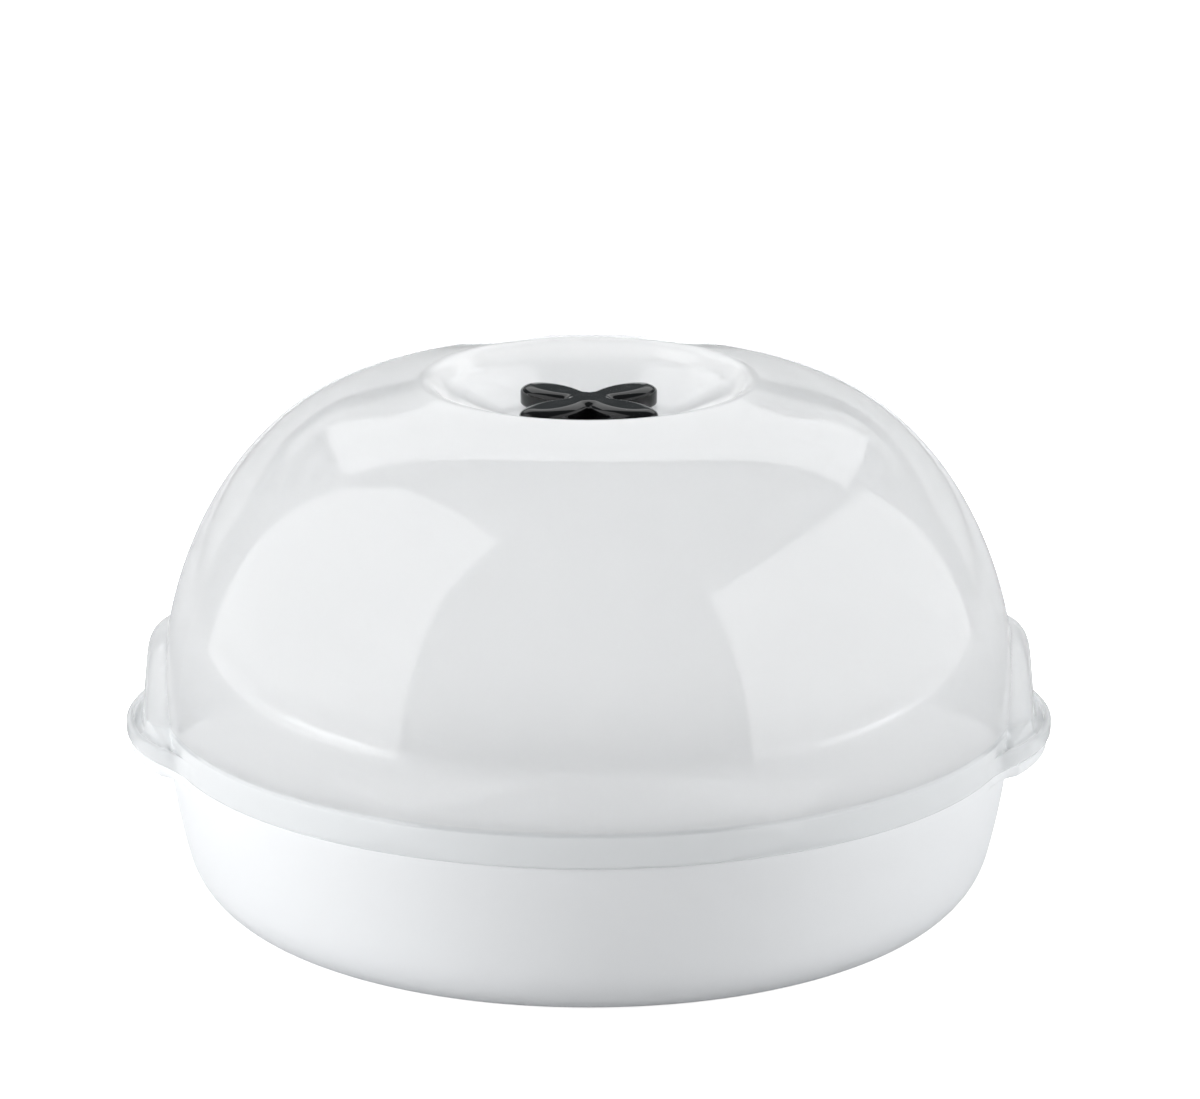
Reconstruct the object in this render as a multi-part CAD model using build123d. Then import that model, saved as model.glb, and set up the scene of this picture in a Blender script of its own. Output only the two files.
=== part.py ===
from build123d import *
import os
from math import cos, sin, tan, radians, sqrt, pi

# Microwave steam sterilizer for baby bottles: a water bowl, a rack that lifts out, and a dome lid with a
# vent knob. Millimetres, +Z up, origin under the middle of the bowl's foot, handle ears along X, and the
# user's side towards -Y.

# Driving sizes of the bowl
skirt_radius = 127.2         # outside of the lid's skirt, the largest round part
bowl_height = 50.0           # shoulder that the lid's skirt stands on
bowl_step = 1.5              # how far the bowl stands back from the skirt
bowl_draft = 4.9             # lean of the wall at the shoulder, degrees
corner_radius = 22.3         # tight curve from the foot into the wall
corner_turn = 75.4           # how far that curve turns, degrees
bowl_wall = 2.4
foot_width = 14.0            # flat ring that the bowl stands on
foot_relief = 1.2            # the middle of the underside stands this much higher
rim_height = 8.6             # upstand above the shoulder, inside the skirt
rim_wall = 2.0

# Driving sizes of the lid
lid_wall = 2.4
skirt_height = 10.0
skirt_step = 0.5             # the skirt stands proud of the dome
dome_straight = 2.6          # upright stretch above the skirt
side_radius = 114.1          # the dome's side, shoulder and crown: the radius of each arc
shoulder_radius = 87.2
crown_radius = 56.7
side_turn = 30.2             # how far each arc turns, degrees
shoulder_turn = 17.5
crown_turn = 30.9
dish_radius = 49.35          # crest of the lip round the dish
lip_radius = 2.6
dish_wall_angle = 52.0       # slope of the dish just inside its lip, degrees
dish_wall_run = 1.3
dish_bend_radius = 8.0
dish_slope = 23.5            # gentle slope of the dish, degrees
dish_hollow_radius = 14.0    # soft curve from that slope to the flat middle

# Driving sizes of the handle ears and the arches above them
ear_overhang = 10.8          # an ear's tip stands this far out from the skirt
ear_radius = 64.0            # curve of its outline in plan
ear_thickness = 5.6          # ear of the lid
ear_under_edge = 1.2         # rounding below
ear_trough = 1.3             # its top is dished inside a raised edge
ear_edge = 3.2               # width of that raised edge
bowl_ear_thickness = 4.0
bowl_ear_inset = 1.2         # the bowl's ear stands back under the lid's
bowl_ear_half_width = 40.8
bowl_ear_corner = 3.0
arch_half_width = 29.0
arch_rise = 24.7             # top of the arch above the skirt
arch_proud = 6.9             # its outer face stands this far out from the dome, at the ear
arch_draft = 5.0             # lean of that face, degrees
arch_edge = 10.0             # rounding of the arch's edge

# Driving sizes of the vent
knob_span = 25.8             # middle of the knob to the end of a petal, along the petal
knob_overhang = 3.3          # the petals reach this far past the dish's flat middle
petal_fullness_factor = 1.7  # a lower number makes the petals broader
petal_points = 16            # points of the outline from one petal's tip to the next
petal_angle = 42.0           # petals lie this far from the X axis, degrees
petal_height = 6.1
petal_edge = 1.6             # rounding of a petal's top edge
hub_radius = 7.6
stem_radius = 3.6
seal_radius = 6.8
seal_thickness = 0.5
vent_hole_radius = 2.6
vent_hole_circle = 14.0      # radius of the circle the vent holes lie on
vent_turn = 45.0             # knob travel from shut to open, degrees
shutter_margin = 1.9         # from a vent hole to the shutter's edge
shutter_thickness = 2.0
washer_radius = 6.6
washer_thickness = 1.4
clip_radius = 6.2
clip_thickness = 2.0
groove_depth = 0.6           # groove of the stem that the clip snaps into

# Driving sizes of the rack that lifts out
steam_gap = 7.0              # ring of open water between the bowl's wall and the tray
tray_level = 16.0            # underside of the tray's plate, above the water
tray_plate = 2.0
tray_rim_height = 4.0
tray_rim_wall = 2.0
leg_radius = 4.0
leg_count = 6
bottle_radius = 36.0         # bottle that a seat or an opening takes
bottle_clearance = 1.0
bottle_count = 4
seat_height = 10.0
seat_wall = 2.0
seat_gap = 3.0               # from a bottle seat to the tray's rim
drain_radius = 3.0
drain_count = 8
drain_circle = 22.0          # drains round the middle of each bottle seat
outer_drain_offset = 10.0    # the drains between the seats lie this much further out than the seats
column_radius = 13.0
column_wall = 2.2
column_neck = 2.0            # the column is this much thinner above the step the teat rack rests on
neck_height = 30.0
socket_height = 8.0
socket_wall = 2.0
rack_plate = 2.2
rack_inset = 7.0             # the teat rack's edge stands this far inside the tray's
rack_rim_height = 3.0
rack_rim_wall = 1.8
peg_radius = 4.0
peg_height = 16.0
peg_inset = 19.0             # from the rack's edge to the pegs
grip_height = 18.0
grip_headroom = 4.8          # from the grip's top to the vent's stem
waist_depth = 4.0            # the grip is this much thinner at its waist
waist_curve = 6.0
grip_edge = 2.5
plug_depth = 14.0

# Clearances
running_clearance = 0.08     # the knob's stem in its bore
fit_clearance = 0.3          # pieces that plug or nest together
skirt_clearance = 0.35       # skirt over the bowl's rim
ear_gap = 0.4                # between the lid's ear and the bowl's
seal_gap = 0.05
foot_clearance = 0.3         # tray's legs above the bowl's floor
past = 1.0                   # a cut runs this far past the face that it opens


def direction(heading):
    """Unit step in the outline's plane at a heading in degrees, where 0 is outwards and 90 is up."""
    return Vector(cos(radians(heading)), sin(radians(heading)))


def smooth_outline(start, heading, steps, inset=0.0):
    """Edges of a smooth outline of straight lengths and (radius, turn) arcs, a positive turn to the left.

    An inset walks beside the outline on its left, as the inner face of a wall does.
    """
    here = Vector(*start) + direction(heading + 90) * inset
    edges = []
    for step in steps:
        if isinstance(step, tuple):
            radius, turn = step
            radius -= inset if turn > 0 else -inset
            edge = JernArc(here, direction(heading), radius, turn)
            heading += turn
        else:
            edge = Line(here, here + direction(heading) * step)
        edges.append(edge)
        here = edge @ 1
    return edges


def closed_by(edges, points):
    """Face in radius and height, bounded by the edges and then by straight lines through the points."""
    corners = [edges[-1] @ 1] + [Vector(*point) for point in points] + [edges[0] @ 0]
    lines = [Line(a, b) for a, b in zip(corners, corners[1:]) if (a - b).length > 1e-6]
    return make_face(edges + lines)


def turned(face):
    """Solid turned about Z from a face drawn in radius and height."""
    return revolve(Plane.XZ * face, axis=Axis.Z)


def ring(outer, inner, low, high):
    """Flat-ended tube, or a disc where the inner radius is 0."""
    body = Cylinder(outer, high - low, align=(Align.CENTER, Align.CENTER, Align.MIN))
    if inner > 0:
        body -= Cylinder(inner, high - low, align=(Align.CENTER, Align.CENTER, Align.MIN))
    return Pos(0, 0, low) * body


def around(piece, count, first_angle=0.0):
    """Copies of a piece spread evenly about Z."""
    return [Rot(0, 0, first_angle + 360 / count * i) * piece for i in range(count)]


def height_of_path(steps, heading):
    """Rise and run of a smooth outline from its first point to its last."""
    edges = smooth_outline((0, 0), heading, steps)
    return edges[-1] @ 1


# Bowl outline: the corner curve and the long wall arc run from the foot to the shoulder
bowl_edge_radius = skirt_radius - bowl_step
wall_turn = 90 - bowl_draft - corner_turn
corner_rise = corner_radius * (1 - cos(radians(corner_turn)))
wall_arc_radius = (bowl_height - corner_rise) / (cos(radians(corner_turn)) - sin(radians(bowl_draft)))
bowl_steps = [(corner_radius, corner_turn), (wall_arc_radius, wall_turn)]
foot_radius = bowl_edge_radius - height_of_path(bowl_steps, 0).X
foot_inner_radius = foot_radius - foot_width
bowl_floor = bowl_wall + foot_relief
rim_radius = skirt_radius - skirt_step - lid_wall - skirt_clearance
rim_top = bowl_height + rim_height


def inside_bowl(level):
    """Radius of the bowl's inner face at a level of its long wall arc."""
    centre = Vector(bowl_edge_radius, bowl_height) + direction(180 - bowl_draft) * wall_arc_radius
    return centre.X + sqrt((wall_arc_radius - bowl_wall) ** 2 - (level - centre.Y) ** 2)


# Lid outline: up the dome, over the lip and down into the dish
dome_radius = skirt_radius - skirt_step
skirt_top = bowl_height + skirt_height
dome_arcs = [(side_radius, side_turn), (shoulder_radius, shoulder_turn), (crown_radius, crown_turn)]
crown_heading = 90 + sum(turn for radius, turn in dome_arcs)
dome_steps = [skirt_height + dome_straight] + dome_arcs
dome_end = Vector(dome_radius, bowl_height) + height_of_path(dome_steps, 90)
lip_start = dish_radius + lip_radius * sin(radians(180 - crown_heading))
crown_run = (dome_end.X - lip_start) / cos(radians(180 - crown_heading))
bend = dish_wall_angle - dish_slope
dish_steps = [(lip_radius, 180 - crown_heading + dish_wall_angle), dish_wall_run, (dish_bend_radius, -bend)]
before_slope = dome_end + direction(crown_heading) * crown_run + height_of_path(dish_steps, crown_heading)
hollow_run = dish_hollow_radius * sin(radians(dish_slope))
dish_floor_radius = knob_span - knob_overhang
slope_run = (before_slope.X - dish_floor_radius - hollow_run) / cos(radians(dish_slope))
lid_steps = dome_steps + [crown_run] + dish_steps + [slope_run, (dish_hollow_radius, -dish_slope)]
dish_floor = (Vector(dome_radius, bowl_height) + height_of_path(lid_steps, 90)).Y
dish_underside = dish_floor - lid_wall
lid_inner_radius = dome_radius - lid_wall

# Ears and arches, on the side of +X
ear_reach = skirt_radius + ear_overhang
ear_centre = ear_reach - ear_radius
ear_low = bowl_height + ear_gap
ear_high = ear_low + ear_thickness
trough_level = ear_high - ear_trough
arch_reach = dome_radius + arch_proud
arch_top = skirt_top + arch_rise

# Vent levels, from the knob down to the clip
knob_bottom = dish_floor + seal_thickness
knob_top = knob_bottom + petal_height
shutter_top = dish_underside - seal_gap
shutter_bottom = shutter_top - shutter_thickness
washer_bottom = shutter_bottom - washer_thickness
clip_bottom = washer_bottom - clip_thickness
stem_bottom = clip_bottom - clip_thickness / 2
shutter_radius = vent_hole_circle + vent_hole_radius + shutter_margin
petal_angles = [petal_angle, 180 - petal_angle, 180 + petal_angle, -petal_angle]

# Rack levels and circles: the tray follows the bowl's wall, and the bottles stand just inside the tray's rim
tray_top = tray_level + tray_plate
tray_radius = inside_bowl(tray_level) - steam_gap
leg_circle = foot_radius - foot_width / 2
bottle_hole_radius = bottle_radius + bottle_clearance
bottle_circle = tray_radius - tray_rim_wall - seat_gap - seat_wall - bottle_hole_radius
outer_drain_circle = bottle_circle + outer_drain_offset
rack_radius = tray_radius - rack_inset
peg_circle = rack_radius - peg_inset
grip_radius = column_radius - column_neck
column_top = stem_bottom - grip_headroom - grip_height
rack_low = column_top - neck_height
rack_top = rack_low + rack_plate


def half_moon(inset, low, high):
    """Round plate whose edge beyond the wall is an ear's half-moon on the +X side."""
    return Pos(ear_centre, 0, 0) * ring(ear_radius - inset, 0, low, high)


def base_bowl():
    """Water bowl: foot ring, rounded corner, drafted wall, shoulder, rim and two ears, one moulding."""
    outer = smooth_outline((foot_radius, 0), 0, bowl_steps)
    shell = turned(closed_by(outer, [
        (rim_radius, bowl_height),
        (rim_radius, rim_top),
        (0, rim_top),
        (0, foot_relief),
        (foot_inner_radius - foot_relief, foot_relief),
        (foot_inner_radius, 0),
    ]))
    for side in (0, 180):
        shell += Rot(0, 0, side) * bowl_ear()
    inner = smooth_outline((foot_radius, 0), 0, bowl_steps, bowl_wall)
    cavity = turned(closed_by(inner, [
        (bowl_edge_radius - bowl_wall, rim_top + past),
        (0, rim_top + past),
        (0, bowl_floor),
        (foot_inner_radius - foot_relief, bowl_floor),
        (foot_inner_radius, bowl_wall),
    ]))
    cavity &= ring(rim_radius - rim_wall, 0, 0, rim_top + past)
    return shell - cavity


def bowl_ear():
    """The bowl's ear: a half-moon cut off straight at both ends, with rounded corners and under-edge."""
    low = bowl_height - bowl_ear_thickness
    band = Pos(ear_centre, 0, low) * Box(ear_radius, 2 * bowl_ear_half_width, bowl_ear_thickness,
                                         align=(Align.MIN, Align.CENTER, Align.MIN))
    ear = half_moon(bowl_ear_inset, low, bowl_height) & band
    corners = ear.edges().filter_by(Axis.Z).filter_by(lambda e: e.center().X > ear_centre + past)
    ear = fillet(corners, bowl_ear_corner)
    round_edges = ear.faces().sort_by(Axis.Z)[0].edges().filter_by(GeomType.CIRCLE)
    return fillet(round_edges, bowl_ear_thickness * 0.4)


def lid_dome():
    """Lid: dome, dish, skirt, and an arch and an ear at each side, with vent holes round the bore."""
    outer = smooth_outline((dome_radius, bowl_height), 90, lid_steps)
    inner = smooth_outline((dome_radius, bowl_height), 90, lid_steps, lid_wall)
    solid_outside = turned(closed_by(outer, [(0, dish_floor), (0, bowl_height)]))
    inside = turned(closed_by(inner, [(0, dish_underside), (0, bowl_height)]))
    skirt = ring(skirt_radius, lid_inner_radius, bowl_height, skirt_top)
    skirt_edges = skirt.edges().filter_by(GeomType.CIRCLE).filter_by(lambda e: e.radius > dome_radius)
    skirt = fillet(skirt_edges.sort_by(Axis.Z)[-1], skirt_step * 0.9)
    lower_edge = skirt.edges().filter_by(GeomType.CIRCLE).filter_by(lambda e: e.radius > dome_radius)
    skirt = fillet(lower_edge.sort_by(Axis.Z)[0], 1.0)
    body = solid_outside + skirt
    for side in (0, 180):
        body += Rot(0, 0, side) * arch_and_ear()
    body -= inside
    body -= ring(lid_inner_radius, 0, bowl_height - past, bowl_height + past)
    body -= ring(stem_radius + running_clearance, 0, dish_underside - past, dish_floor + past)
    hole = Pos(vent_hole_circle, 0, 0) * ring(vent_hole_radius, 0, dish_underside - past, dish_floor + past)
    for angle in petal_angles:
        body -= Rot(0, 0, angle) * hole
    return body


def arch_and_ear():
    """Arch on the dome's side that flows out into a dished half-moon ear."""
    ear = half_moon(0, ear_low, ear_high)
    ear = fillet(ear.edges().sort_by(Axis.Z)[-1], ear_thickness * 0.4)
    ear = fillet(ear.edges().sort_by(Axis.Z)[0], ear_under_edge)
    ear -= half_moon(ear_edge, trough_level, ear_high + past)
    # The arch is a round boss whose outer face leans back by its draft, rounded along its whole edge.
    boss_level = arch_top - arch_half_width
    lean = tan(radians(arch_draft))
    foot_x = arch_reach + lean * (trough_level - boss_level + arch_half_width)
    top_x = arch_reach - lean * (arch_top - trough_level)
    arch = extrude(Plane.YZ * (Pos(0, boss_level) * Circle(arch_half_width)), foot_x)
    face = Polyline((0, boss_level - arch_half_width), (foot_x, boss_level - arch_half_width),
                    (top_x, arch_top), (0, arch_top), close=True)
    arch &= extrude(Plane.XZ * make_face(face), arch_half_width, both=True)
    arch = fillet(arch.faces().sort_by(Axis.X)[-1].edges(), arch_edge)
    arch -= ring(2 * ear_reach, 0, 0, ear_low)
    return arch + ear


def knob_outline():
    """Closed curve of four petals: its radius swells from the hub to a tip on each petal's line."""
    points = []
    for first, last in zip(petal_angles, petal_angles[1:] + [petal_angles[0] + 360]):
        gap = (last - first) % 360
        for i in range(petal_points):
            share = i / petal_points
            swell = abs(cos(share * pi)) ** petal_fullness_factor
            points.append(direction(first + gap * share) * (hub_radius + (knob_span - hub_radius) * swell))
    return make_face(Spline(points, periodic=True))


def vent_knob():
    """Knob: four petals round a hub, and a stem with a square stretch and a groove for the clip."""
    body = Pos(0, 0, knob_bottom) * extrude(knob_outline(), petal_height)
    top = body.faces().sort_by(Axis.Z)[-1]
    body = fillet(top.edges(), petal_edge)
    stem = ring(stem_radius, 0, shutter_top, knob_bottom + past)
    square = stem_radius * sqrt(2)
    stem += Pos(0, 0, stem_bottom) * Box(square, square, shutter_top - stem_bottom + past,
                                         align=(Align.CENTER, Align.CENTER, Align.MIN))
    stem &= ring(stem_radius, 0, stem_bottom, knob_bottom + past)
    groove = ring(2 * stem_radius, square / 2 - groove_depth, clip_bottom, washer_bottom)
    return body + (stem - groove)


def knob_seal():
    """Silicone ring that the knob turns on."""
    return ring(seal_radius, stem_radius + fit_clearance, dish_floor, knob_bottom)


def vent_shutter():
    """Disc under the dish, keyed to the stem, with holes that meet the lid's when the knob is turned."""
    disc = ring(shutter_radius, 0, shutter_bottom, shutter_top)
    key = stem_radius * sqrt(2) + 2 * running_clearance
    disc -= Pos(0, 0, shutter_bottom) * Box(key, key, shutter_thickness,
                                            align=(Align.CENTER, Align.CENTER, Align.MIN))
    hole = Pos(vent_hole_circle, 0, 0) * ring(vent_hole_radius, 0, shutter_bottom, shutter_top)
    for angle in petal_angles:
        disc -= Rot(0, 0, angle - vent_turn) * hole
    return disc


def friction_washer():
    """Silicone washer that presses the shutter up against the lid."""
    return ring(washer_radius, stem_radius + fit_clearance, washer_bottom, shutter_bottom)


def stem_clip():
    """Snap collar in the stem's groove."""
    inner = stem_radius * sqrt(2) / 2 - groove_depth + running_clearance
    return ring(clip_radius, inner, clip_bottom, washer_bottom)


def steam_tray():
    """Perforated plate on legs, with a raised rim, four bottle seats and the column's socket."""
    plate = ring(tray_radius, 0, tray_level, tray_top)
    plate += ring(tray_radius, tray_radius - tray_rim_wall, tray_level, tray_top + tray_rim_height)
    floor_level = bowl_wall + foot_clearance
    leg = Pos(leg_circle, 0, 0) * ring(leg_radius, 0, floor_level, tray_top)
    for piece in around(leg, leg_count):
        plate += piece
    seat = ring(bottle_hole_radius + seat_wall, bottle_hole_radius, tray_level, tray_top + seat_height)
    drains = [Pos(drain_circle, 0, 0) * ring(drain_radius, 0, tray_level, tray_top)]
    drain_ring = around(drains[0], drain_count)
    for well in around(Pos(bottle_circle, 0, 0), bottle_count, 45):
        plate += well * seat
        for drain in drain_ring:
            plate -= well * drain
        plate -= well * ring(drain_radius, 0, tray_level, tray_top)
    socket_inner = column_radius + fit_clearance
    plate += ring(socket_inner + socket_wall, socket_inner, tray_level, tray_top + socket_height)
    plate -= ring(column_radius - column_wall, 0, tray_level, tray_top)
    outer_drain = Pos(outer_drain_circle, 0, 0) * ring(drain_radius, 0, tray_level, tray_top)
    for drain in around(outer_drain, bottle_count):
        plate -= drain
    return plate


def centre_column():
    """Tube that stands in the tray's socket; its step carries the teat rack and its top takes the grip."""
    column = ring(column_radius, 0, tray_top, rack_low)
    column += ring(grip_radius, 0, tray_top, column_top)
    return column - ring(grip_radius - column_wall, 0, tray_top, column_top)


def teat_rack():
    """Plate with four bottle openings and four pegs, resting on the column's step; lifts off over the grip."""
    plate = ring(rack_radius, 0, rack_low, rack_top)
    plate += ring(rack_radius, rack_radius - rack_rim_wall, rack_low, rack_top + rack_rim_height)
    opening = ring(bottle_hole_radius, 0, rack_low, rack_top + rack_rim_height)
    lip = ring(bottle_hole_radius + rack_rim_wall, bottle_hole_radius, rack_low, rack_top + rack_rim_height)
    for well in around(Pos(bottle_circle, 0, 0), bottle_count, 45):
        plate += well * lip
        plate -= well * opening
    peg = Pos(peg_circle, 0, 0) * Cone(peg_radius, peg_radius / 2, peg_height,
                                       align=(Align.CENTER, Align.CENTER, Align.MIN))
    for piece in around(Pos(0, 0, rack_top) * peg, bottle_count):
        plate += piece
    hub_inner = grip_radius + fit_clearance
    plate += ring(hub_inner + rack_rim_wall, hub_inner, rack_low, rack_top + 2 * rack_rim_height)
    return plate - ring(hub_inner, 0, rack_low, rack_top + 2 * rack_rim_height)


def lifting_grip():
    """Waisted round grip, no wider than the column's neck, with a plug that presses into the column's top."""
    grip = ring(grip_radius, 0, column_top, column_top + grip_height)
    grip = fillet(grip.edges().sort_by(Axis.Z)[-1], grip_edge)
    waist = Torus(grip_radius - waist_depth + waist_curve, waist_curve)
    grip -= Pos(0, 0, column_top + grip_height / 2 - grip_edge / 2) * waist
    plug_radius = grip_radius - column_wall - fit_clearance / 2
    return grip + ring(plug_radius, 0, column_top - plug_depth, column_top)


pieces = {
    "base_bowl": base_bowl,
    "lid_dome": lid_dome,
    "vent_knob": vent_knob,
    "knob_seal": knob_seal,
    "vent_shutter": vent_shutter,
    "friction_washer": friction_washer,
    "stem_clip": stem_clip,
    "steam_tray": steam_tray,
    "centre_column": centre_column,
    "teat_rack": teat_rack,
    "lifting_grip": lifting_grip,
}

os.makedirs("parts", exist_ok=True)
for name, make in pieces.items():
    export_step(make(), f"parts/{name}.step")
print(f"foot radius {foot_radius:.2f}, wall arc {wall_arc_radius:.1f}, dome end {dome_end}")
print(f"dish floor {dish_floor:.2f}, knob top {knob_top:.2f}, stem bottom {stem_bottom:.2f}")
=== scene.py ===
import math

import bmesh
import bpy
import numpy as np
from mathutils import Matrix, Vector


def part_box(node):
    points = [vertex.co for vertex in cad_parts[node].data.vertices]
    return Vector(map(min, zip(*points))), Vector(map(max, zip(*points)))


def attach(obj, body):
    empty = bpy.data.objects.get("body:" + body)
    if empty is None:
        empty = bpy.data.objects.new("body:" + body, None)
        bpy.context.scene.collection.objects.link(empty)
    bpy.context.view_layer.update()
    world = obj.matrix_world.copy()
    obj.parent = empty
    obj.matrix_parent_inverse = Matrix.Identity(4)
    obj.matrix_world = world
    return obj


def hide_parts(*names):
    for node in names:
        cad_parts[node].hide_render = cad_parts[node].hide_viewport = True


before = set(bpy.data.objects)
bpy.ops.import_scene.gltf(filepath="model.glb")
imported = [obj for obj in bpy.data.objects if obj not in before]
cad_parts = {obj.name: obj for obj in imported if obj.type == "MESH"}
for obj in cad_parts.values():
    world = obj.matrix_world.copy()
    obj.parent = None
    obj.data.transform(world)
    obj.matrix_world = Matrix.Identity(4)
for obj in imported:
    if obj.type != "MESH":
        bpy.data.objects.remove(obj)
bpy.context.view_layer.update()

# Studio: a white paper sweep under daylight-white softboxes. Gloss mirrors two tall ones left and right and
# a wide one above and behind. Low ones stand for the bright paper beside the object; between them it is dim.


def linear(hex_colour):
    """sRGB hex colour turned to the linear values that a shader takes."""
    parts = [int(hex_colour[i : i + 2], 16) / 255 for i in (1, 3, 5)]
    return [c / 12.92 if c <= 0.04045 else ((c + 0.055) / 1.055) ** 2.4 for c in parts] + [1.0]


def add_node(tree, kind, settings=None, **inputs):
    """Adds a node; an input takes a plain value or another node's output socket."""
    node = tree.nodes.new(kind)
    for key, value in (settings or {}).items():
        setattr(node, key, value)
    for key, value in inputs.items():
        socket = node.inputs[int(key[1:])] if key[0] == "_" else node.inputs[key.replace("_", " ")]
        if isinstance(value, bpy.types.NodeSocket):
            tree.links.new(value, socket)
        else:
            socket.default_value = value
    return node


scene = bpy.context.scene
scene.view_settings.view_transform = "Standard"

photo_width_px = 1200
axis_px = 588.8  # column of the photograph that the object's axis falls on
lens_distance = 1.5
lens_height = 0.5408
lens_pitch = math.radians(16.19)
focal_px = 5271.6
camera_data = bpy.data.cameras.new("photo_camera")
camera = bpy.data.objects.new("photo_camera", camera_data)
scene.collection.objects.link(camera)
camera_data.sensor_width = 36
camera_data.lens = focal_px / photo_width_px * camera_data.sensor_width
camera_data.shift_x = (photo_width_px / 2 - axis_px) / photo_width_px
camera.location = (0, -lens_distance, lens_height)
camera.rotation_euler = (math.radians(90) - lens_pitch, 0, 0)
scene.camera = camera


def softbox(name, middle, facing, width, height, radiance, seen_by):
    """Area lamp of one even radiance, seen either by shiny surfaces or by matt ones."""
    light = bpy.data.lights.new(name, "AREA")
    light.shape = "RECTANGLE"
    light.size = width
    light.size_y = height
    light.energy = radiance * math.pi * width * height
    lamp = bpy.data.objects.new(name, light)
    scene.collection.objects.link(lamp)
    lamp.location = middle
    lamp.rotation_euler = Vector(facing).to_track_quat("-Z", "Y").to_euler()
    lamp.visible_diffuse = seen_by == "matt"
    lamp.visible_transmission = seen_by == "matt"
    lamp.visible_glossy = seen_by == "shiny"
    lamp.visible_camera = False
    return lamp


def fill(name, bearing, elevation, radiance):
    """Soft lamp for matt surfaces, aimed at the object. Its bearing is 0 at the user and 90 at the right."""
    size, distance, aim_height = 0.7, 1.7, 0.08
    turn, rise = math.radians(bearing), math.radians(elevation)
    towards = Vector((math.sin(turn) * math.cos(rise), -math.cos(turn) * math.cos(rise), math.sin(rise)))
    softbox(name, Vector((0, 0, aim_height)) + distance * towards, -towards, size, size, radiance, "matt")


# Middle, facing, width and height in metres, then the radiance, where 1 is white.
softbox("left_card", (-0.957, 0.0, 1.0), (0.948, 0.316, 0), 1.43, 2.0, 0.97, "shiny")
softbox("right_card", (1.24, 0.03, 0.65), (-0.953, 0.304, 0), 2.24, 1.3, 0.9, "shiny")
softbox("overhead_card", (0.115, 1.4, 1.13), (0, 0, -1), 2.07, 1.4, 1.05, "shiny")
softbox("overhead_far_card", (0.115, 2.5, 1.13), (0, 0, -1), 3.6, 0.8, 0.42, "shiny")
softbox("backdrop_card", (0, 3.0, 0.43), (0, -1, 0), 5.6, 0.86, 0.42, "shiny")
softbox("left_sweep", (-0.565, -0.3, 0.002), (0, 0, 1), 0.77, 0.8, 0.42, "shiny")
softbox("right_sweep", (0.64, -0.3, 0.002), (0, 0, 1), 0.92, 0.8, 0.32, "shiny")
softbox("front_sweep", (0, -0.75, 0.002), (0, 0, 1), 0.7, 1.1, 0.4, "shiny")
# Bearing and elevation in degrees, then the radiance.
fill("left_fill", -70, 10, 13.8)
fill("right_fill", 77, 10, 9.7)
fill("back_fill", 180, 12, 9.8)
fill("top_fill", 0, 88, 7.6)

room_level = 0.26
room_level_in_gloss = 0.16
world = bpy.data.worlds.new("studio")
scene.world = world
world.use_nodes = True
tree = world.node_tree
tree.nodes.clear()
paths = add_node(tree, "ShaderNodeLightPath")
room = add_node(tree, "ShaderNodeBackground", Color=linear("#FFFFFF"), Strength=room_level)
room_in_gloss = add_node(tree, "ShaderNodeBackground", Color=linear("#DDE8EC"), Strength=room_level_in_gloss)
white = add_node(tree, "ShaderNodeBackground", Color=linear("#FFFFFF"), Strength=1.0)
light = add_node(tree, "ShaderNodeMixShader", _0=paths.outputs["Is Glossy Ray"], _1=room.outputs[0],
                 _2=room_in_gloss.outputs[0])
seen = add_node(tree, "ShaderNodeMath", {"operation": "MAXIMUM"}, _0=paths.outputs["Is Camera Ray"],
                _1=paths.outputs["Is Transmission Ray"])
sky = add_node(tree, "ShaderNodeMixShader", _0=seen.outputs[0], _1=light.outputs[0], _2=white.outputs[0])
add_node(tree, "ShaderNodeOutputWorld", Surface=sky.outputs[0])

floor_half = 4.0
glow_seen = 0.85  # on top of what the lamps give, so that the paper is white to the camera
glow_through = 0.38  # seen through the milky lid
glow_in_gloss = 0.05
floor_mesh = bpy.data.meshes.new("floor")
floor_mesh.from_pydata([(-floor_half, -floor_half, 0), (floor_half, -floor_half, 0),
                        (floor_half, floor_half, 0), (-floor_half, floor_half, 0)], [], [(0, 1, 2, 3)])
floor = bpy.data.objects.new("floor", floor_mesh)
scene.collection.objects.link(floor)
floor_finish = bpy.data.materials.new("white_sweep")
floor_finish.use_nodes = True
tree = floor_finish.node_tree
tree.nodes.clear()
paths = add_node(tree, "ShaderNodeLightPath")
# In reflections the paper takes a darker copy of its colour: painted shade in what shiny surfaces mirror.
lit_side = add_node(tree, "ShaderNodeBsdfDiffuse", Color=linear("#ECECEC"))
paper_painted_dim_in_gloss = add_node(tree, "ShaderNodeBsdfDiffuse", Color=linear("#C4C6C8"))
paper = add_node(tree, "ShaderNodeMixShader", _0=paths.outputs["Is Glossy Ray"], _1=lit_side.outputs[0],
                 _2=paper_painted_dim_in_gloss.outputs[0])
mirrored = add_node(tree, "ShaderNodeMath", {"operation": "MULTIPLY"}, _0=paths.outputs["Is Glossy Ray"],
                    _1=glow_in_gloss)
behind = add_node(tree, "ShaderNodeMath", {"operation": "MULTIPLY_ADD"},
                  _0=paths.outputs["Is Transmission Ray"], _1=glow_through, _2=mirrored.outputs[0])
white_level = add_node(tree, "ShaderNodeMath", {"operation": "MULTIPLY_ADD"},
                       _0=paths.outputs["Is Camera Ray"], _1=glow_seen, _2=behind.outputs[0])
glow = add_node(tree, "ShaderNodeEmission", Color=linear("#FFFFFF"), Strength=white_level.outputs[0])
lit_paper = add_node(tree, "ShaderNodeAddShader", _0=paper.outputs[0], _1=glow.outputs[0])
add_node(tree, "ShaderNodeOutputMaterial", Surface=lit_paper.outputs[0])
floor_mesh.materials.append(floor_finish)

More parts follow.
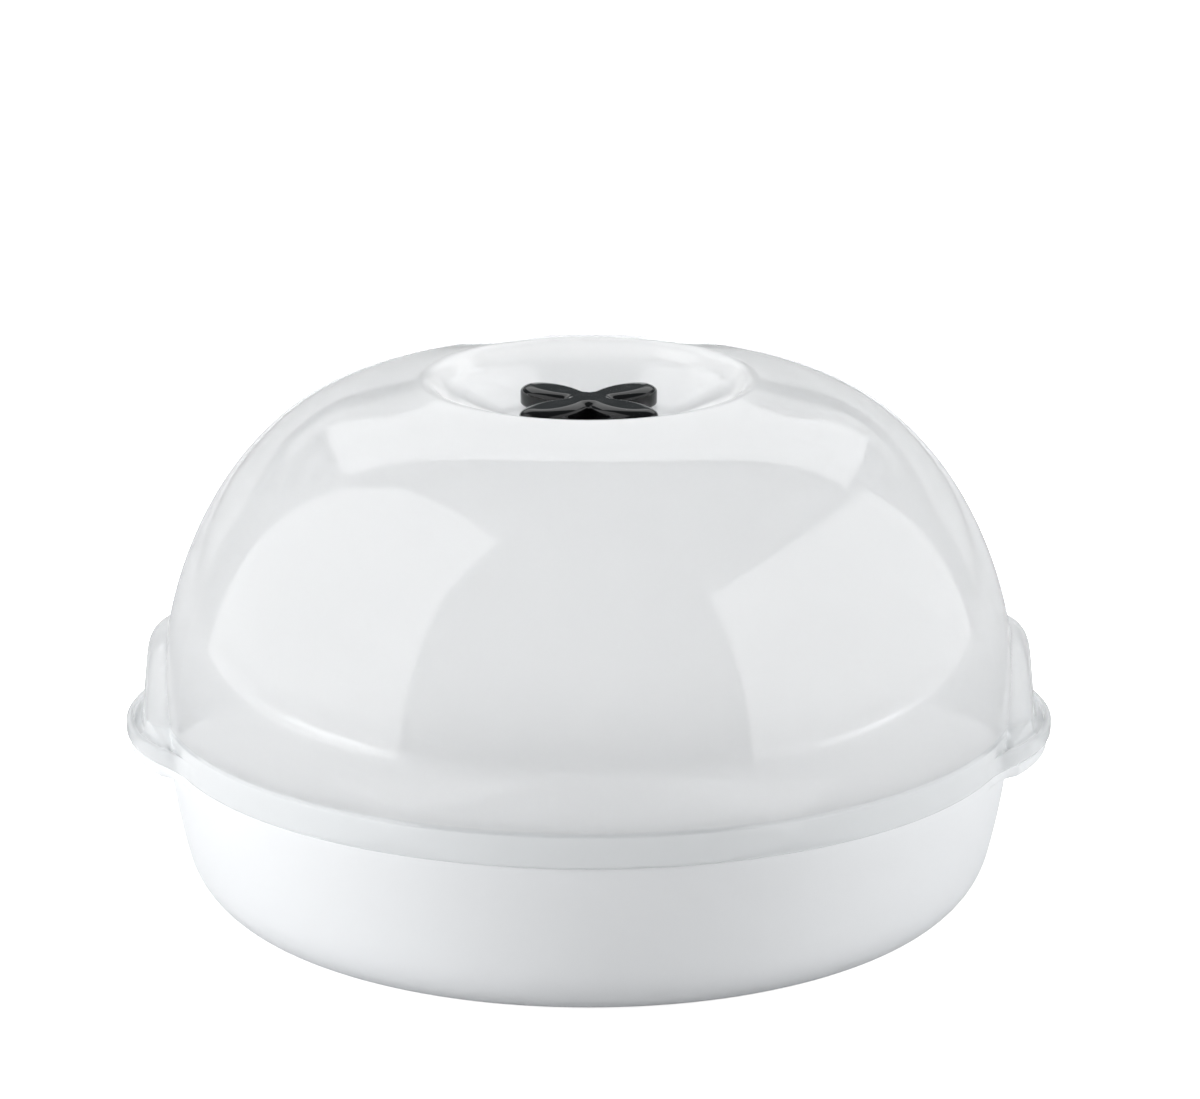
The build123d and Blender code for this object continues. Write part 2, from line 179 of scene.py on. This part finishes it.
# Water bowl: one opaque white polypropylene moulding with a satin gloss. A drafted wall runs into a rounded
# corner and a flat foot ring. A rim stands inside the lid's skirt, and a half-moon ear juts out on each side.
mm = 0.001
skirt_radius = 127.2
bowl_height = 50.0
bowl_edge = skirt_radius - 1.5
bowl_wall = 2.4
bowl_draft = 4.9
corner_radius = 22.3
corner_turn = 75.4
foot_width = 14.0
foot_relief = 1.2
rim_radius = 123.95
rim_wall = 2.0
rim_top = 58.6
ear_reach = 138.0
ear_radius = 64.0
bowl_ear_inset = 1.2
bowl_ear_half_width = 43.0
bowl_ear_taper = 8.0
bowl_ear_thickness = 4.0
bowl_ear_round = 1.6  # radius under the ear's edge
bowl_ear_full = 3.0  # where the ear stands out this far, its edge has its full radius
small_round = 0.3
edge_round = 0.5
rim_step = 0.2
rim_middle = 54.0
floor_row = 40.0  # radius of a row of points that keeps the flat middle's faces even
row_gap = 0.05  # keeps neighbouring rows of points from crossing
wall_spacing = 1.5
inner_spacing = 2.5


def walk(start, heading, steps, spacing, inset=0.0):
    """Points along a smooth outline of straight lengths and (radius, turn) arcs; a turn over 0 goes left.

    An inset walks beside the outline on its left, as the inner face of a wall does.
    """
    heading = math.radians(heading)
    here = np.array(start, float) + inset * np.array([-math.sin(heading), math.cos(heading)])
    points = [here]
    for step in steps:
        if isinstance(step, tuple):
            radius, turn = step
            turn = math.radians(turn)
            radius -= inset if turn > 0 else -inset
            side = 1 if turn > 0 else -1
            centre = here + side * radius * np.array([-math.sin(heading), math.cos(heading)])
            count = max(2, math.ceil(abs(turn) * radius / spacing))
            for i in range(1, count + 1):
                angle = heading + turn * i / count
                points.append(centre - side * radius * np.array([-math.sin(angle), math.cos(angle)]))
            heading += turn
        else:
            count = max(1, math.ceil(step / spacing))
            for i in range(1, count + 1):
                points.append(here + step * i / count * np.array([math.cos(heading), math.sin(heading)]))
        here = points[-1]
    return np.array(points)


def bend(centre, radius, first, last, count):
    """Points of an arc in the plane of radius and height, angles in degrees."""
    angles = np.radians(np.linspace(first, last, count))
    return [np.array([centre[0] + radius * math.cos(a), centre[1] + radius * math.sin(a)]) for a in angles]


def smooth_over(a, b, blend):
    """The larger of two lengths, with a soft change where they differ by less than the blend."""
    share = min(1.0, max(0.0, 0.5 + 0.5 * (a - b) / blend))
    return b * (1 - share) + a * share + blend * share * (1 - share)


def ear_outline(angle, inset):
    """Distance from the axis to the half-moon's edge, at an angle from the X axis.

    Past the ends of the ear it is less than the wall's radius.
    """
    centre = ear_reach - ear_radius
    inside = (ear_radius - inset) ** 2 - (centre * math.sin(angle)) ** 2
    if inside <= 0 or math.cos(angle) <= 0:
        return 0.0
    return centre * math.cos(angle) + math.sqrt(inside)


def column_angles():
    """Angles of the upright rows of faces: close together round the ears and arches, wider elsewhere."""
    arch_flank, ear_end = 9, 19.5  # degrees from the X axis
    near = np.concatenate([np.linspace(0, arch_flank, 14), np.linspace(arch_flank, ear_end, 48)[1:]])
    quarter = np.radians(np.concatenate([near, np.linspace(ear_end, 90, 28)[1:]]))
    half = np.concatenate([quarter, np.pi - quarter[-2::-1]])
    return np.concatenate([half, 2 * np.pi - half[-2:0:-1]])


def side_angle(angle):
    """Angle from the nearer end of the X axis, where the ears are."""
    return math.asin(abs(math.sin(angle)))


def lathe(name, columns, angles):
    """Closed mesh from one outline per angle; outlines that end on the axis close in a pole."""
    count, rows = len(columns), len(columns[0])
    mesh = bpy.data.meshes.new(name)
    points = [(r * math.cos(a) * mm, r * math.sin(a) * mm, z * mm) for column, a in zip(columns, angles)
              for r, z in column]
    on_axis = 1e-9
    loop = abs(columns[0][0][0]) > on_axis or abs(columns[0][-1][0]) > on_axis
    faces = []
    for i in range(count):
        j = (i + 1) % count
        for k in range(rows if loop else rows - 1):
            m = (k + 1) % rows
            faces.append((i * rows + k, j * rows + k, j * rows + m, i * rows + m))
    mesh.from_pydata(points, [], faces)
    body = bpy.data.objects.new(name, mesh)
    scene.collection.objects.link(body)
    tidy(body)
    return body


def tidy(body):
    """Merges doubles, turns the faces outwards, and shades smoothly except over sharp edges."""
    sharp_degrees = 35
    weld, sliver = 1e-6, 1e-7
    work = bmesh.new()
    work.from_mesh(body.data)
    bmesh.ops.remove_doubles(work, verts=work.verts, dist=weld)
    bmesh.ops.dissolve_degenerate(work, edges=work.edges, dist=sliver)
    bmesh.ops.recalc_face_normals(work, faces=work.faces)
    work.to_mesh(body.data)
    work.free()
    body.data.shade_smooth()
    body.data.set_sharp_from_angle(angle=math.radians(sharp_degrees))


def bowl_column(angle):
    """Outline of the bowl in one upright plane: from the axis underneath, up the outside and down inside."""
    turn, draft = math.radians(corner_turn), math.radians(bowl_draft)
    corner_rise = corner_radius * (1 - math.cos(turn))
    wall_arc = (bowl_height - corner_rise) / (math.cos(turn) - math.sin(draft))
    steps = [(corner_radius, corner_turn), (wall_arc, 90 - bowl_draft - corner_turn)]
    foot = bowl_edge - walk((0, 0), 0, steps, wall_spacing)[-1][0]
    outer = walk((foot, 0), 0, steps, wall_spacing)
    bowl_ear_low = bowl_height - bowl_ear_thickness
    outer = outer[outer[:, 1] < bowl_ear_low - 2 * small_round]
    edge = bowl_edge - row_gap
    off_axis = side_angle(angle)
    moon = ear_outline(off_axis, bowl_ear_inset)
    taper = min(1.0, max(0.0, (bowl_ear_half_width - moon * math.sin(off_axis)) / bowl_ear_taper))
    reach = edge + max(0.0, moon - edge) * taper
    proud = min(1.0, (reach - edge) / bowl_ear_full)
    under = small_round + (bowl_ear_round - small_round) * proud
    points = [np.array([0, foot_relief]), np.array([floor_row, foot_relief]),
              np.array([foot - foot_width - foot_relief, foot_relief]), np.array([foot - foot_width, 0.0])]
    points += [np.array([foot - foot_width * s, 0.0]) for s in (0.6, 0.3)]
    points += list(outer)
    if proud > 0:
        points += [np.array([edge - small_round, bowl_ear_low - small_round * proud]),
                   np.array([edge + small_round * proud, bowl_ear_low])]
        points += [np.array([edge + (reach - under - edge) * s, bowl_ear_low]) for s in (0.35, 0.7)]
        points += bend((reach - under, bowl_ear_low + under), under, -90, 0, 7)
    else:
        levels = np.linspace(bowl_ear_low - small_round, bowl_height - small_round - edge_round, 11)
        points += [np.array([edge - (bowl_height - z) * math.tan(draft), z]) for z in levels]
    ledge_start, ledge_end = reach - edge_round, rim_radius + rim_step
    points += bend((ledge_start, bowl_height - edge_round), edge_round, 0, 90, 4)
    points += [np.array([ledge_start + (ledge_end - ledge_start) * s, bowl_height]) for s in (0.5, 1.0)]
    points += [np.array([rim_radius, bowl_height + rim_step]), np.array([rim_radius, rim_middle])]
    points += bend((rim_radius - rim_wall / 2, rim_top - rim_wall / 2), rim_wall / 2, 0, 180, 9)
    rim_inside = rim_radius - rim_wall
    inner = walk((foot, 0), 0, steps, inner_spacing, bowl_wall)
    inner = inner[inner[:, 0] < rim_inside - row_gap]
    points += [np.array([rim_inside, bowl_height]), np.array([rim_inside, inner[-1][1] + wall_spacing])]
    points += list(inner[::-1])
    points += [np.array([foot - foot_width, bowl_wall]),
               np.array([foot - foot_width - foot_relief, bowl_wall + foot_relief]),
               np.array([floor_row, bowl_wall + foot_relief]), np.array([0, bowl_wall + foot_relief])]
    return points


angles = column_angles()
bowl = lathe("water_bowl", [bowl_column(a) for a in angles], angles)


def plastic(name, colour):
    """Moulded plastic with a Principled shader, ready for the piece's own pattern."""
    finish = bpy.data.materials.new(name)
    finish.use_nodes = True
    shader = finish.node_tree.nodes["Principled BSDF"]
    shader.inputs["Base Color"].default_value = linear(colour)
    return finish, finish.node_tree, shader


def moulded_skin(tree, shader, grain, depth, gloss, patch):
    """Gives a moulding its grain as bump, and gloss that drifts over patches; lengths in millimetres."""
    place = add_node(tree, "ShaderNodeTexCoord").outputs["Object"]
    grains = add_node(tree, "ShaderNodeTexNoise", Vector=place, Scale=1 / (grain * mm), Detail=2.0)
    bump = add_node(tree, "ShaderNodeBump", Height=grains.outputs[0], Distance=depth * mm)
    patches = add_node(tree, "ShaderNodeTexNoise", Vector=place, Scale=1 / (patch * mm), Detail=3.0)
    drift = add_node(tree, "ShaderNodeMapRange", Value=patches.outputs[0], From_Min=0.3, From_Max=0.7,
                     To_Min=gloss[0], To_Max=gloss[1])
    tree.links.new(drift.outputs[0], shader.inputs["Roughness"])
    tree.links.new(bump.outputs[0], shader.inputs["Normal"])
    return place, bump


# White polypropylene from a spark-eroded mould: satin, with faint upright lines where the mould was stoned.
# The grain of 0.3 mm is drawn at 0.8 mm to show.
bowl_finish, tree, shader = plastic("white_polypropylene_satin", "#E4E6E8")
place, bump = moulded_skin(tree, shader, 0.8, 0.006, (0.36, 0.44), 35)
upright = add_node(tree, "ShaderNodeMapping", Vector=place, Scale=(1, 1, 0.04))
stoning = add_node(tree, "ShaderNodeTexNoise", Vector=upright.outputs[0], Scale=1 / (1.6 * mm), Detail=2.0)
lines = add_node(tree, "ShaderNodeBump", Height=stoning.outputs[0], Distance=0.006 * mm,
                 Normal=bump.outputs[0])
tree.links.new(lines.outputs[0], shader.inputs["Normal"])
shader.inputs["IOR"].default_value = 1.49
shader.inputs["Specular IOR Level"].default_value = 1.0
bowl.data.materials.append(bowl_finish)
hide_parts("base_bowl")
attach(bowl, "bowl")

# Dome lid: one moulding in milky, glossy polypropylene. The skirt stands half a millimetre proud of the
# dome, an arch rises from each ear up the dome's side, and the top is sunk into a dish with a soft lip.
lid_wall = 2.4
dome_radius = skirt_radius - 0.5
skirt_top = 60.0
skirt_step_middle = skirt_top - 0.3
skirt_step_softness = 0.17
skirt_foot_round = 1.0
skirt_foot_bevel = 0.2
upright_wall = 12.6  # the wall is straight this far up before the dome draws in
dome_arcs = [(114.1, 30.2), (87.2, 17.5), (56.7, 30.9)]
dish_radius = 49.35
lip_radius = 5.0
lip_turn = 44.0  # the dish's wall drops this steeply inside the lip
dish_wall_bend = 8.0
dish_slope = 23.5
dish_floor_level = 145.64
dish_flat = 22.5  # radius of the dish's flat middle
dish_bend = 14.0
ear_low = 50.4
ear_trough_level = 54.7
ear_top = 56.0
ear_edge = 2.2  # the arch's foot ends this far inside the ear's edge
ear_blend = 1.6
ear_full = 2.5  # where the ear stands out this far, its underside has its full height
ear_flare = 4.6  # radius from the arch's face into the ear's trough
ear_rim = 3.4
ear_rim_round = 1.9
arch_radius = 29.0
arch_top = 84.7
arch_face = 132.7
arch_draft = 5.7
arch_edge = 9.0
arch_circle = 128.0  # the arch's width is measured on this radius
arch_blend = 0.8
arch_sweep = 9.0  # the arch's foot widens this much as it runs out into the ear's front
arch_sweep_rise = 16.0
stem_bore = 3.68


def lid_outline(spacing, inset=0.0):
    """Outline from the skirt's foot over the dome and the lip, and down the dish to its flat middle."""
    start = (dome_radius, bowl_height)
    crown_rise = 90 - sum(turn for radius, turn in dome_arcs)
    up = [upright_wall] + dome_arcs
    end = walk(start, 90, up, spacing)[-1]
    lip_start = dish_radius + lip_radius * math.sin(math.radians(crown_rise))
    crown_run = (end[0] - lip_start) / math.cos(math.radians(crown_rise))
    into_dish = [(lip_radius, crown_rise + lip_turn), (dish_wall_bend, dish_slope - lip_turn)]
    before = walk(start, 90, up + [crown_run] + into_dish, spacing)[-1]
    slope, steep = math.radians(dish_slope), math.radians(lip_turn)
    last_drop = dish_bend * (1 - math.cos(slope))
    drop = before[1] - dish_floor_level - last_drop
    reach = before[0] - dish_flat - dish_bend * math.sin(slope)
    steep_run = (drop - reach * math.tan(slope)) / (math.sin(steep) - math.cos(steep) * math.tan(slope))
    slope_run = (reach - steep_run * math.cos(steep)) / math.cos(slope)
    steps = up + [crown_run, into_dish[0], steep_run, into_dish[1], slope_run, (dish_bend, -dish_slope)]
    return walk(start, 90, steps, spacing, inset)


outside = lid_outline(1.6)
inside = lid_outline(3.2, lid_wall)
dish_floor = outside[-1][1]
arch_clear = 90.0  # over this height the lid is round, and its outline is the same all round
lip_zone = 4.5
round_part = [p for p in outside if p[1] > arch_clear and abs(p[0] - dish_radius) >= lip_zone]
lip_points = [p for p in lid_outline(0.5) if abs(p[0] - dish_radius) < lip_zone]
before_lip = [p for p in round_part if p[0] > dish_radius]
after_lip = [p for p in round_part if p[0] < dish_radius]
dome_points = before_lip + lip_points + after_lip


def dome_wall(z):
    """Radius of the dome or the skirt at a height between the skirt's foot and a little over the arch."""
    lowest_arc = dome_arcs[0][0]
    above = max(0.0, z - bowl_height - upright_wall)
    dome = dome_radius - lowest_arc + math.sqrt(lowest_arc**2 - above**2)
    step = 1 / (1 + math.exp((z - skirt_step_middle) / skirt_step_softness))
    return dome + (skirt_radius - dome_radius) * step


def wall(angle, z):
    """Outside radius at an angle from the X axis and a height, with the arch standing on the dome."""
    across = arch_circle * math.sin(angle)
    rise = max(z - (arch_top - arch_radius), 0)
    sweep = arch_sweep * max(0.0, 1 - max(z - ear_top, 0) / arch_sweep_rise) ** 2
    depth = arch_radius + sweep - math.hypot(across, rise)
    face = arch_face - math.tan(math.radians(arch_draft)) * (z - skirt_top)
    flank_slope = 6  # outside its own outline the arch's face falls away this steeply
    if depth > arch_edge:
        arch = face
    elif depth > 0:
        arch = face - arch_edge + math.sqrt(arch_edge**2 - (arch_edge - depth) ** 2)
    else:
        arch = face - arch_edge + flank_slope * depth
    arch = min(arch, ear_outline(angle, ear_edge))
    return smooth_over(arch, dome_wall(z), arch_blend)


# The rows of faces lie close together at the arch's top edge and at the skirt's step.
step_levels = [60.6, 60.3, 60.1, 59.95, 59.8, 59.65, 59.5, 59.35, 59.2, 58.9, 58.4, 57.8, 57.0, 56.4]
wall_levels = np.concatenate([np.linspace(arch_clear, 86, 4), np.linspace(85.4, 74, 24),
                              np.linspace(73, 61, 12), step_levels])
detail_top = 62.0  # under this height the rows follow the skirt's step, or the foot of the wall over an ear


def lid_column(angle):
    """Closed outline of the lid in one upright plane: down the outside, round the ear and up inside."""
    off_axis = side_angle(angle)
    reach = smooth_over(ear_outline(off_axis, 0.0), skirt_radius, ear_blend)
    width = max(0.0, reach - wall(off_axis, ear_top))
    proud = min(1.0, (reach - skirt_radius) / ear_full)
    flare = min(ear_flare, 0.5 * width)
    rim = min(ear_rim, 0.5 * width)
    edge = min(ear_rim_round, 0.9 * rim)
    trough = ear_top - (ear_top - ear_trough_level) * min(1.0, max(0.0, (width - ear_edge) / 2))
    low = bowl_height + (ear_low - bowl_height) * proud
    points = [np.array([stem_bore, dish_floor])]
    points += [np.array([r, dish_floor]) for r in (8, 14, 19)]
    points += dome_points[::-1]
    foot = max(wall_levels[-1], trough + flare + 2 * row_gap)
    squeeze = (detail_top - foot) / (detail_top - wall_levels[-1])
    points += [np.array([wall(off_axis, z), z]) for z in
               (z if z > detail_top else detail_top - (detail_top - z) * squeeze for z in wall_levels)]
    for turn in np.linspace(0, 90, 9)[1:]:
        a = math.radians(turn)
        z = trough + max(flare, small_round) * (1 - math.sin(a))
        points.append(np.array([wall(off_axis, max(z, ear_top)) + flare * (1 - math.cos(a)), z]))
    for share, lift in ((0.0, 0.0), (0.35, 0.3), (0.7, 0.8)):
        points.append(np.array([reach - rim + (rim - edge) * share, trough + (ear_top - trough) * lift]))
    points += bend((reach - edge, ear_top - edge), edge, 90, 0, 8)
    points += [np.array([reach, (ear_top + low) / 2])]
    under = skirt_foot_round + 0.2 * proud
    points += bend((reach - under, low + under), under, 0, -90, 6)
    inner_radius = dome_radius - lid_wall
    points += [np.array([inner_radius + (reach - under - inner_radius) * s, low]) for s in (0.6, 0.2)]
    points += [np.array([inner_radius + skirt_foot_bevel, bowl_height]),
               np.array([inner_radius, bowl_height + small_round])]
    points += list(inside[1:])
    points += [np.array([r, dish_floor - lid_wall]) for r in (14, 8, stem_bore)]
    return points


lid = lathe("dome_lid", [lid_column(a) for a in angles], angles)
vent_hole_radius = 2.6
vent_hole_circle = 14.0
petal_lines = [42, 138, 222, 318]  # bearings of the vent holes, which lie under the knob's petals


def round_bar(mesh, x, y, radius, low, high, sides=48):
    """Adds an upright closed bar to a bmesh."""
    rings = [[mesh.verts.new(((x + radius * math.cos(a)) * mm, (y + radius * math.sin(a)) * mm, z * mm))
              for a in (2 * math.pi * i / sides for i in range(sides))] for z in (low, high)]
    for i in range(sides):
        j = (i + 1) % sides
        mesh.faces.new((rings[0][i], rings[0][j], rings[1][j], rings[1][i]))
    mesh.faces.new(rings[1])
    mesh.faces.new(rings[0][::-1])


def cut(body, bars):
    """Cuts upright round bars, given as (x, y, radius, low, high), out of a closed piece."""
    work = bmesh.new()
    for bar in bars:
        round_bar(work, *bar)
    tool_mesh = bpy.data.meshes.new("cutter")
    work.to_mesh(tool_mesh)
    work.free()
    tool = bpy.data.objects.new("cutter", tool_mesh)
    scene.collection.objects.link(tool)
    holes = body.modifiers.new("holes", "BOOLEAN")
    holes.operation = "DIFFERENCE"
    holes.solver = "EXACT"
    holes.object = tool
    done = bpy.data.meshes.new_from_object(body.evaluated_get(bpy.context.evaluated_depsgraph_get()))
    body.modifiers.clear()
    body.data = done
    bpy.data.objects.remove(tool)
    tidy(body)


cut_past = 1.0  # the cutting bars stand out of the wall this far on both sides
cut(lid, [(vent_hole_circle * math.cos(math.radians(a)), vent_hole_circle * math.sin(math.radians(a)),
           vent_hole_radius, dish_floor - lid_wall - cut_past, dish_floor + cut_past) for a in petal_lines])

# Milky polypropylene from a polished mould: a clear gloss over a body that lets light through, so the closed
# dome glows evenly. The skirt and the ears are given a smaller glow share, as painted shade for the bowl's
# rim and ears that stand behind them.
glow_dome = 0.92
# The skirt's and the ears' smaller glow shares are painted shade for the bowl's rim and ears behind them.
skirt_glow_painted_shade = 0.1
ear_glow_painted_shade = 0.55  # an ear's glow lies between the skirt's and the dome's
gloss_face = 0.08
gloss_edge = 0.75
gloss_power = 5.0
lid_finish, tree, shader = plastic("milky_polypropylene_gloss", "#DCDFE1")
through = add_node(tree, "ShaderNodeBsdfTranslucent", Color=linear("#F8F8F8"))
place, bump = moulded_skin(tree, shader, 24, 0.012, (0.05, 0.09), 40)
level = add_node(tree, "ShaderNodeSeparateXYZ", Vector=place)
# Where the glow is cut as painted shade: low on the skirt and out over the ears.
over_rim = add_node(tree, "ShaderNodeMapRange", Value=level.outputs["Z"], From_Min=(skirt_top - 0.2) * mm,
                    From_Max=(skirt_top + 0.8) * mm)
flat = add_node(tree, "ShaderNodeVectorMath", {"operation": "MULTIPLY"}, _0=place, _1=(1, 1, 0))
from_axis = add_node(tree, "ShaderNodeVectorMath", {"operation": "LENGTH"}, _0=flat.outputs[0])
in_ear = add_node(tree, "ShaderNodeMapRange", Value=from_axis.outputs["Value"],
                  From_Min=(skirt_radius + 0.4) * mm, From_Max=(skirt_radius + 1.6) * mm,
                  To_Max=ear_glow_painted_shade)
clear = add_node(tree, "ShaderNodeMath", {"operation": "MAXIMUM"}, _0=over_rim.outputs[0],
                 _1=in_ear.outputs[0])
glow_with_painted_shade = add_node(tree, "ShaderNodeMapRange", Value=clear.outputs[0], To_Min=skirt_glow_painted_shade, To_Max=glow_dome)
body = add_node(tree, "ShaderNodeMixShader", _0=glow_with_painted_shade.outputs[0], _1=shader.outputs[0],
                _2=through.outputs[0])
skin = add_node(tree, "ShaderNodeBsdfAnisotropic", Color=linear("#FFFFFF"), Roughness=0.06,
                Normal=bump.outputs[0])
edge_on = add_node(tree, "ShaderNodeLayerWeight", Blend=0.5)
steep = add_node(tree, "ShaderNodeMath", {"operation": "POWER"}, _0=edge_on.outputs["Facing"],
                 _1=gloss_power)
sheen = add_node(tree, "ShaderNodeMath", {"operation": "MULTIPLY_ADD"}, _0=steep.outputs[0], _1=gloss_edge,
                 _2=gloss_face)
milky = add_node(tree, "ShaderNodeMixShader", _0=sheen.outputs[0], _1=body.outputs[0], _2=skin.outputs[0])
add_node(tree, "ShaderNodeOutputMaterial", Surface=milky.outputs[0]).is_active_output = True
lid.data.materials.append(lid_finish)
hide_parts("lid_dome")
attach(lid, "lid")

# Vent knob: a black, highly polished moulding with four petals; its flat tops run over a soft edge into the
# upright sides, and its stem turns in the lid's bore.
knob_span = 25.8
hub_radius = 7.6
petal_fullness = 1.7
knob_height = 6.1
knob_edge = 2.9
knob_edge_drop = 2.2
knob_foot_edge = 0.9
knob_gap = 0.5
stem_radius = 3.6
knob_bottom = dish_floor + knob_gap
knob_top = knob_bottom + knob_height


def petal_outline(count):
    """Closed curve of four petals whose radius swells from the hub to a tip on each petal's line."""
    points = []
    for first, last in zip(petal_lines, petal_lines[1:] + [petal_lines[0] + 360]):
        for i in range(count):
            share = i / count
            swell = abs(math.cos(share * math.pi)) ** petal_fullness
            angle = math.radians(first + (last - first) * share)
            radius = hub_radius + (knob_span - hub_radius) * swell
            points.append((radius * math.cos(angle), radius * math.sin(angle)))
    return np.array(points)


outline = petal_outline(64)
ahead = np.roll(outline, -1, axis=0) - np.roll(outline, 1, axis=0)
outward = np.stack([ahead[:, 1], -ahead[:, 0]], axis=1)
outward /= np.linalg.norm(outward, axis=1)[:, None]
rows = [(outline - outward * knob_edge, share, knob_top) for share in (0.0, 0.35, 0.7, 0.9)]
bevel_start = math.radians(64)
for a in np.linspace(bevel_start, 0, 9):
    drop = knob_edge_drop * (1 - math.sin(a) / math.sin(bevel_start))
    inset = knob_edge * (1 - math.cos(a)) / (1 - math.cos(bevel_start))
    rows.append((outline - outward * inset, 1.0, knob_top - drop))
for a in np.radians(np.linspace(0, -90, 5)):
    rows.append((outline - outward * knob_foot_edge * (1 - math.cos(a)), 1.0,
                 knob_bottom + knob_foot_edge * (1 + math.sin(a))))
rows += [(outline - outward * knob_foot_edge, share, knob_bottom) for share in (0.8, 0.5)]
points = []
for ring, share, level in rows:
    points += [(x * share * mm, y * share * mm, level * mm) for x, y in ring]
stem_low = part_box("vent_knob")[0][2] / mm
for level in (knob_bottom, stem_low):
    for x, y in outline:
        shrink = stem_radius / math.hypot(x, y)
        points.append((x * shrink * mm, y * shrink * mm, level * mm))
points += [(0, 0, stem_low * mm)] * len(outline)
count = len(outline)
faces = []
for first in range(0, len(points) - count, count):
    for i in range(count):
        j = (i + 1) % count
        faces.append((first + i, first + j, first + count + j, first + count + i))
knob_mesh = bpy.data.meshes.new("petal_knob")
knob_mesh.from_pydata(points, [], faces)
knob = bpy.data.objects.new("petal_knob", knob_mesh)
scene.collection.objects.link(knob)
tidy(knob)

# Black ABS with a mirror polish: deep black faces, and clean highlights along the rounded edges that waver a
# little, as on a hand-polished mould.
knob_finish, tree, shader = plastic("black_abs_polished", "#0B0B0C")
moulded_skin(tree, shader, 5, 0.003, (0.04, 0.09), 6)
shader.inputs["IOR"].default_value = 1.5
knob.data.materials.append(knob_finish)
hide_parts("vent_knob")
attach(knob, "vent")

# Rack pieces: the steam tray with its bottle seats, the column, the upper rack and the grip are white
# polypropylene mouldings. So are the shutter that closes the vent from below and the clip that holds it.


def dress(names, finish):
    """Gives CAD pieces a finish of their own."""
    for name in names:
        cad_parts[name].data.materials.clear()
        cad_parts[name].data.materials.append(finish)


# White polypropylene with a fine matt texture, which hides the scratches that bottles leave. The grain of
# 0.2 mm is drawn at 0.6 mm to show.
rack_finish, tree, shader = plastic("white_polypropylene_matt", "#E3E5E7")
moulded_skin(tree, shader, 0.6, 0.008, (0.4, 0.52), 25)
shader.inputs["Subsurface Weight"].default_value = 0.1
shader.inputs["Subsurface Scale"].default_value = 0.003
dress(("steam_tray", "centre_column", "teat_rack", "lifting_grip"), rack_finish)

# White polypropylene, smoother, because the shutter slides on the lid.
vent_finish, tree, shader = plastic("white_polypropylene_smooth", "#DFE1E3")
moulded_skin(tree, shader, 0.5, 0.003, (0.25, 0.36), 12)
dress(("vent_shutter", "stem_clip"), vent_finish)

# Seal and friction washer: soft rings of clear grey silicone, which hold the knob where it is turned to and
# keep steam out of the bore.

# Clear grey silicone: light goes into it, and its moulded skin is dull and holds a little dust.
silicone, tree, shader = plastic("clear_grey_silicone", "#CDD0D2")
moulded_skin(tree, shader, 0.4, 0.01, (0.42, 0.6), 5)
shader.inputs["Subsurface Weight"].default_value = 0.6
shader.inputs["Subsurface Scale"].default_value = 0.002
dress(("knob_seal", "friction_washer"), silicone)
